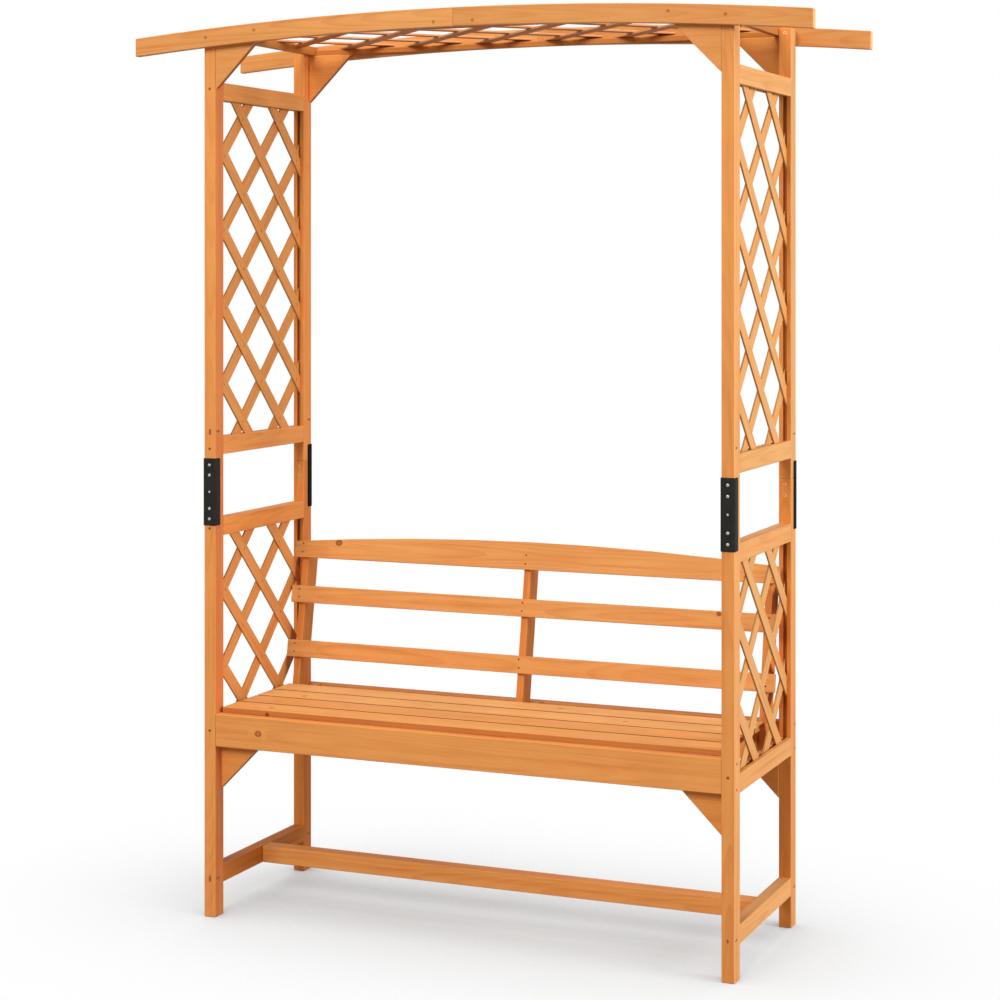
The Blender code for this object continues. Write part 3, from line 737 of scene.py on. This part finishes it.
# Staples of the lattices
scatter = random.Random(5)
staple_bends = ((-1, -staple_leg), (-1, -0.0001), (-0.86, 0.00025), (0.86, 0.00025), (1, -0.0001),
                (1, -staple_leg))
staple_path = [Vector((share * (staple_crown / 2), 0, rise)) for share, rise in staple_bends]
staple = template_of("staple", bent_wire(staple_path, *staple_wire))
staples = bmesh.new()

# Lattices: long slats whose ends the outline cuts, so that their wood knows no ends
uncut_half_length = 2.0
slat_half = (uncut_half_length, slat_width / 2, slat_thickness / 2)
slat_board = (Matrix.Identity(3), Vector((0, 0, 0)), slat_half)
# Side lattice slats: their sides take painted shade, and the right ones a paler stain, painted light
side_slat_stain_with_painted_light = {"left": (1.03, 0.1), "right": (0.96, 1.15)}
slat_woods = {name: wood(f"wood_lattice_slats_{name}", slat_board, name, *stain, sawn=0.4, figure=0.6,
                         attribute="board") for name, stain in side_slat_stain_with_painted_light.items()}
# Roof slats: a darker stain, painted shade for their shaded undersides, and paler sides, painted light
roof_wood = wood("wood_roof_slats", slat_board, "roof", 0.70, -0.85, sawn=1.0, gloss=0.03, figure=0.5,
                 side_tint=painted_roof_side_light, attribute="board")

# A side panel stands: its own X runs up, its Y to the front and its Z to the right
stand = Matrix(((0, 0, 1, 0), (0, -1, 0, 0), (1, 0, 0, 0), (0, 0, 0, 1)))
for side_name, side in sides.items():
    for part in ("upper", "lower"):
        node = f"side_lattice_{part}_{side_name}"
        low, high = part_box(node)
        drop = upper_lattice_drop if part == "upper" else 0
        basis = Matrix.Translation((low + high) / 2) @ stand
        half_panel = ((high.z - low.z) / 2, (high.y - low.y) / 2)
        shift = (-drop, -side_lattice_setback)
        lattice(node, half_panel, side_half_pitch, shift, basis, slat_woods[side_name], -side)
low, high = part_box("roof_lattice")
basis = Matrix.Translation((low + high) / 2)
half_panel = ((high.x - low.x) / 2, (high.y - low.y) / 2)
lattice("roof_lattice", half_panel, roof_half_pitch, (0, 0), basis, roof_wood, 1)


def lathe(profile, segments):
    """Turns a profile of (radius, height) round Z. It starts and ends on the axis."""
    shape = bmesh.new()
    rings = []
    for radius, height in profile:
        if radius == 0:
            rings.append([shape.verts.new((0, 0, height))])
            continue
        rings.append([shape.verts.new((radius * math.cos(angle), radius * math.sin(angle), height))
                      for angle in (2 * math.pi * step / segments for step in range(segments))])
    for first, second in zip(rings, rings[1:]):
        for step in range(segments):
            following = (step + 1) % segments
            corners = [first[step % len(first)], first[following % len(first)],
                       second[following % len(second)], second[step % len(second)]]
            shape.faces.new(list(dict.fromkeys(corners)))
    return shape


# A cross recess: the width of its arms as a share of their reach, and how its floor narrows along and across
recess_width = 0.36
recess_taper = (0.35, 0.7)


def screw_template(name, radius, height, shank, length, recess):
    """A screw with a domed head over the plane Z = 0, a cross recess and its shank below."""
    profile = [(0, height), (0.45 * radius, 0.97 * height), (0.72 * radius, 0.84 * height),
               (0.90 * radius, 0.58 * height), (radius, 0.25 * height), (radius, 0), (shank, -0.0001),
               (shank, 0.002 - length), (0, -length)]
    shape = lathe(profile, 24)
    bmesh.ops.recalc_face_normals(shape, faces=shape.faces[:])
    head = add_to_scene(name, mesh_of(name, shape))
    tools = []
    for quarter in (0, math.pi / 2):
        arm = bmesh.new()
        bmesh.ops.create_cube(arm, size=1)
        for vertex in arm.verts:
            upper = vertex.co.z > 0
            narrower = (1.0, 1.0) if upper else recess_taper
            vertex.co.x *= 2 * recess * narrower[0]
            vertex.co.y *= recess_width * recess * narrower[1]
            vertex.co.z = 2 * height if upper else -0.1 * height
        bmesh.ops.rotate(arm, verts=arm.verts[:], matrix=Matrix.Rotation(quarter, 3, "Z"))
        tool = add_to_scene(f"{name}_arm", mesh_of(f"{name}_arm", arm))
        cut = head.modifiers.new("recess", "BOOLEAN")
        cut.solver = "EXACT"
        cut.operation = "DIFFERENCE"
        cut.object = tool
        tools.append(tool)
    bpy.context.view_layer.update()
    solid = head.evaluated_get(bpy.context.evaluated_depsgraph_get())
    mesh = bpy.data.meshes.new_from_object(solid)
    for item in [head, *tools]:
        bpy.data.objects.remove(item, do_unlink=True)
    return mesh


def facing(point, outward, spin=0.0):
    """The place of a fastener whose Z axis points outward from a surface."""
    rotation = Vector(outward).to_track_quat("Z", "Y").to_matrix().to_4x4()
    return Matrix.Translation(point) @ rotation @ Matrix.Rotation(spin, 4, "Z")


def finish_piece(name, shape, material):
    """A piece of many small parts that rides on the bench."""
    piece = new_piece(name, shape, material)
    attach(piece, "root")
    return piece


# Metals, and the staples as one piece
zinc = metal("zinc_plate", (0.50, 0.49, 0.46, 1), dull=0.42, grime=0.60)
dark_screw = metal("browned_screw", (0.32, 0.115, 0.030, 1), dull=0.60, grime=0.45, shine=0.0)
nail_steel = metal("nail_steel", (0.050, 0.012, 0.004, 1), dull=0.60, grime=0.5, shine=0.0)
bolt_steel = metal("bolt_end", (0.90, 0.52, 0.25, 1), dull=0.60, grime=0.85, shine=0.0)
bore_painted_shade = metal("bolt_hole_painted_shade", (0.12, 0.030, 0.008, 1), dull=0.60, grime=0.5, shine=0.0)
staple_steel = metal("staple_wire", (0.35, 0.12, 0.03, 1), dull=0.50, grime=0.5, shine=0.0)
finish_piece("lattice_staples", staples, staple_steel)

# Splice brackets: one sheet with rounded corners, folded round three sides of the post
bracket_half_width = (bracket_high.x - bracket_low.x) / 2
bracket_half_height = (bracket_high.z - bracket_low.z) / 2
bracket_middle_z = (bracket_high.z + bracket_low.z) / 2
plate_y = -half_depth - board_gap - bracket_sheet
bracket_depth = -half_depth + bracket_flange - plate_y


def bracket_stations():
    """Points and outward normals along one half of the bracket's section, from the free edge."""
    for step in range(bracket_corner_steps + 1):
        reach = bracket_corner * (1 - math.cos(math.pi / 2 * step / bracket_corner_steps))
        yield Vector((bracket_half_width, bracket_depth - reach)), Vector((1, 0)), reach
    for step in range(bracket_bend_steps + 1):
        angle = math.pi / 2 * step / bracket_bend_steps
        normal = Vector((math.cos(angle), -math.sin(angle)))
        centre = Vector((bracket_half_width - bracket_bend, bracket_bend))
        yield centre + normal * bracket_bend, normal, bracket_corner


def bracket_shape():
    """The folded sheet, with its plate in the plane Y = 0 and its flanges towards +Y."""
    shape = bmesh.new()
    half = list(bracket_stations())
    stations = half + [(Vector((-point.x, point.y)), Vector((-normal.x, normal.y)), reach)
                       for point, normal, reach in reversed(half)]
    rows = []
    for point, normal, reach in stations:
        rounded = math.sqrt(max(bracket_corner ** 2 - (bracket_corner - reach) ** 2, 0))
        height = bracket_half_height - bracket_corner + rounded
        inner = point - normal * bracket_sheet
        rows.append([shape.verts.new((flat.x, flat.y, z)) for flat, z in
                     ((point, -height), (point, height), (inner, height), (inner, -height))])
    skin(shape, rows)
    bmesh.ops.recalc_face_normals(shape, faces=shape.faces[:])
    sharp = [edge for edge in shape.edges if edge.calc_face_angle(0) > math.radians(50)]
    bmesh.ops.bevel(shape, geom=sharp, offset=bracket_edge_radius, segments=2, profile=0.5, affect="EDGES")
    return shape


bracket_template = template_of("bracket", bracket_shape())
pan_screw = screw_template("pan_screw", radius=0.0034, height=0.0018, shank=0.0018, length=0.016,
                           recess=0.0020)
bolt_head = screw_template("bolt", radius=0.0026, height=0.0014, shank=0.0018, length=0.030, recess=0.0014)
# The back brackets take a darker, duller copy of the steel: painted shade
bracket_steel = {"front": coated_steel("black_steel"), "back": coated_steel("black_steel_back", shade=0.35)}
spin = random.Random(3)
bracket_screws = bmesh.new()
for end_name, end in ends.items():
    for side_name, side in sides.items():
        node = f"splice_bracket_{end_name}_{side_name}"
        shape = bmesh.new()
        turn = Matrix.Identity(4) if end < 0 else Matrix.Rotation(math.pi, 4, "Z")
        place = Matrix.Translation((side * post_middle_x, -end * plate_y, bracket_middle_z)) @ turn
        add_copy(shape, bracket_template, place)
        channel = new_piece(f"folded_{node}", shape, bracket_steel[end_name])
        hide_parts(node)
        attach(channel, "root")
        for height in bracket_screw_heights:
            point = (side * post_middle_x, -end * plate_y, height)
            add_copy(bracket_screws, pan_screw, facing(point, (0, end, 0), spin.uniform(0, 3)))
        point = (side * post_middle_x, -end * plate_y, bracket_bolt_height)
        add_copy(bracket_screws, bolt_head, facing(point, (0, end, 0), spin.uniform(0, 3)))
for face in bracket_screws.faces:
    face.smooth = False
finish_piece("bracket_screws", bracket_screws, zinc)

# Screws through the posts, nearly flush and browned
post_screw = screw_template("post_screw", radius=0.0032, height=0.0006, shank=0.0016, length=0.018,
                            recess=0.0016)
post_screws = bmesh.new()
for end_name, end in ends.items():
    for side_name, side in sides.items():
        for height in post_screw_heights[side_name]:
            point = (side * post_screw_x, end * half_depth, height)
            add_copy(post_screws, post_screw, facing(point, (0, end, 0), spin.uniform(0, 3)))
        for height in side_screw_heights:
            point = (side * half_width, side_screw_y[end_name], height)
            add_copy(post_screws, post_screw, facing(point, (side, 0, 0), spin.uniform(0, 3)))
finish_piece("post_screws", post_screws, dark_screw)

# Ends of the bolts in the inner faces of the posts, with painted shade in their bore
bolt_end_profile = [(0, -0.0008), (0.0016, -0.0008), (0.0018, 0.0009), (0.0030, 0.0011), (0.0038, 0.0006),
                    (0.0039, -0.0040), (0, -0.0042)]
bolt_end = template_of("bolt_end", lathe(bolt_end_profile, 24))
bolt_ends = bmesh.new()
for end in ends.values():
    for side in sides.values():
        for height in bolt_end_heights:
            point = (side * bolt_end_x, end * post_inner_y, height)
            add_copy(bolt_ends, bolt_end, facing(point, (0, -end, 0)))
# Faces round the axis take the dark material, painted shade in the bore
for face in bolt_ends.faces:
    middle = face.calc_center_median()
    off_axis = min(math.hypot(abs(middle.x) - bolt_end_x, middle.z - height) for height in bolt_end_heights)
    face.material_index = 1 if off_axis < bolt_end_bore else 0
bolt_end_piece = finish_piece("bolt_ends", bolt_ends, bolt_steel)
bolt_end_piece.data.materials.append(bore_painted_shade)

# Filled slots in the posts
unit_circle = bmesh.new()
bmesh.ops.create_circle(unit_circle, cap_ends=False, radius=1, segments=28)
outline = sorted((vertex.co.copy() for vertex in unit_circle.verts),
                 key=lambda point: math.atan2(point.y, point.x))
unit_circle.free()


def filled_slot(width, length):
    """A low oval dome over the plane Z = 0, with its foot below it."""
    shape = bmesh.new()
    levels = ((1.0, -0.0030), (1.0, 0.00005), (0.92, 0.00025), (0.60, 0.00038))
    rows = [[shape.verts.new((point.x * share * width / 2, point.y * share * length / 2, level))
             for point in outline] for share, level in levels]
    skin(shape, rows)
    return shape


wide_slot = template_of("wide_slot", filled_slot(width=0.0062, length=0.0150))
slim_slot = template_of("slim_slot", filled_slot(width=0.0048, length=0.0150))
small_slot = template_of("small_slot", filled_slot(width=0.0050, length=0.0090))
slots = bmesh.new()
slot_filler = filler("slot_filler", (0.36, 0.115, 0.026, 1), (0.21, 0.058, 0.012, 1))
face_slots = {"left": (wide_slot, wide_slot), "right": (small_slot,)}
side_slot_faces = {"left": -post_inner_x, "right": half_width}
for side_name, side in sides.items():
    for end in ends.values():
        for slot, height in zip(face_slots[side_name], face_slot_heights):
            add_copy(slots, slot, facing((side * slot_x, end * half_depth, height), (0, end, 0)))
        for height in side_slot_heights:
            point = (side_slot_faces[side_name], end * slot_y, height)
            add_copy(slots, slim_slot, facing(point, (1, 0, 0)) @ Matrix.Rotation(math.pi / 2, 4, "Z"))
finish_piece("filled_slots", slots, slot_filler)

# Plugs over the screws of the beams
plug_profile = [(0, 0.00012), (0.0026, 0.00011), (0.0038, 0.00004), (0.0040, -0.003), (0, -0.003)]
plug = template_of("beam_plug", lathe(plug_profile, 24))
plug_wood = filler("plug_wood", (0.46, 0.180, 0.040, 1), (0.27, 0.085, 0.018, 1))
plugs = bmesh.new()
for end in ends.values():
    for side in sides.values():
        for x, z in plug_places:
            add_copy(plugs, plug, facing((side * x, end * beam_face_y, z), (0, end, 0)))
finish_piece("beam_plugs", plugs, plug_wood)

# Nails of the back slats
nail_profile = [(0, 0.00035), (0.0012, 0.0003), (0.0019, 0.00005), (0.0020, -0.0002), (0.0008, -0.0005),
                (0, -0.012)]
nail = template_of("nail", lathe(nail_profile, 16))
nails = bmesh.new()
out = -(lean @ along_y)
for rises in nail_rises.values():
    for column in nail_columns:
        for rise in rises:
            point = back_origin + lean @ Vector((column, -board_gap - back_slat_thickness, rise))
            point.x += spin.uniform(-nail_stray, nail_stray)
            add_copy(nails, nail, facing(point, out))
finish_piece("back_slat_nails", nails, nail_steel)


def grey(level):
    """An even grey, with its alpha."""
    return (level, level, level, 1)


# Floor: what the camera sees of it is speckled, and what lights the bench from below is one shade
floor_reach = 30
floor_below_feet = 0.0002
floor_speckles = (grey(0.52), grey(0.54))
floor_bounce = grey(0.32)
shadow_reach = 0.80
shadow_power = 1.3
floor_shape = bmesh.new()
bmesh.ops.create_grid(floor_shape, x_segments=1, y_segments=1, size=floor_reach)
floor = add_to_scene("floor", mesh_of("floor", floor_shape))
floor.location.z = -floor_below_feet


def seen_directly(tree):
    """One for rays from the camera and for mirrored or refracted rays, otherwise zero."""
    path = tree.nodes.new("ShaderNodeLightPath")
    value = path.outputs["Is Camera Ray"]
    for name in ("Is Glossy Ray", "Is Transmission Ray"):
        most = tree.nodes.new("ShaderNodeMath")
        most.operation = "MAXIMUM"
        tree.links.new(value, most.inputs[0])
        tree.links.new(path.outputs[name], most.inputs[1])
        value = most.outputs[0]
    return value


ground = Shader("pale_floor")
spot = ground.add("ShaderNodeTexCoord").outputs["Object"]
speckle = ground.noise(spot, scale=3.0)
floor_color = ground.mix(speckle, *floor_speckles)
floor_color = ground.mix(seen_directly(ground.tree), floor_bounce, floor_color)
ground.link(floor_color, ground.principled.inputs["Base Color"])
ground.principled.inputs["Roughness"].default_value = 0.9
ground.principled.inputs["Specular IOR Level"].default_value = 0.1
glow = ground.add("ShaderNodeEmission")
open_sky = ground.add("ShaderNodeAmbientOcclusion", samples=8)
open_sky.inputs["Distance"].default_value = shadow_reach
fade = ground.math("POWER", open_sky.outputs["AO"], shadow_power)
fade = ground.math("MULTIPLY", fade, seen_directly(ground.tree))
blend = ground.add("ShaderNodeMixShader")
ground.link(fade, blend.inputs[0])
ground.link(ground.principled.outputs["BSDF"], blend.inputs[1])
ground.link(glow.outputs[0], blend.inputs[2])
ground.link(blend.outputs[0], ground.output.inputs["Surface"])
floor.data.materials.append(ground.material)

# White surroundings, dimmer as a light than as a backdrop
sky_light, sky_seen = 0.34, 1.0
world = bpy.data.worlds.new("studio")
world.use_nodes = True
bpy.context.scene.world = world
tree = world.node_tree
background = tree.nodes["Background"]
background.inputs["Color"].default_value = grey(1.0)
strength = tree.nodes.new("ShaderNodeMapRange")
strength.inputs["To Min"].default_value = sky_light
strength.inputs["To Max"].default_value = sky_seen
tree.links.new(seen_directly(tree), strength.inputs["Value"])
tree.links.new(strength.outputs["Result"], background.inputs["Strength"])


def softbox(name, place, target, size, power):
    """A rectangular area lamp that faces a point."""
    data = bpy.data.lights.new(name, "AREA")
    data.shape = "RECTANGLE"
    data.size, data.size_y = size
    data.energy = power
    lamp = add_to_scene(name, data)
    lamp.location = place
    lamp.rotation_euler = (Vector(target) - Vector(place)).to_track_quat("-Z", "Y").to_euler()


softbox("overhead", place=(0.1, -0.5, 5.5), target=(0, 0, 0), size=(1.8, 1.6), power=88)
softbox("front", place=(-0.6, -7.4, 5.6), target=(0, 0, 1.0), size=(3.8, 3.4), power=522)
softbox("right", place=(8.0, -0.30, 3.3), target=(0, 0, 1.1), size=(3.2, 3.2), power=555)

# Camera: level, with its image shifted down to the bench
camera_place = (1.9918, -4.6929, 1.4704)
camera_turn = math.radians(22.955)
camera_data = bpy.data.cameras.new("camera")
camera_data.lens = 81.48
camera_data.sensor_width = 36
camera_data.shift_y = -0.2328
camera = add_to_scene("camera", camera_data)
camera.location = camera_place
camera.rotation_euler = (math.radians(90), 0, camera_turn)
bpy.context.scene.camera = camera
bpy.context.scene.view_settings.view_transform = "Standard"
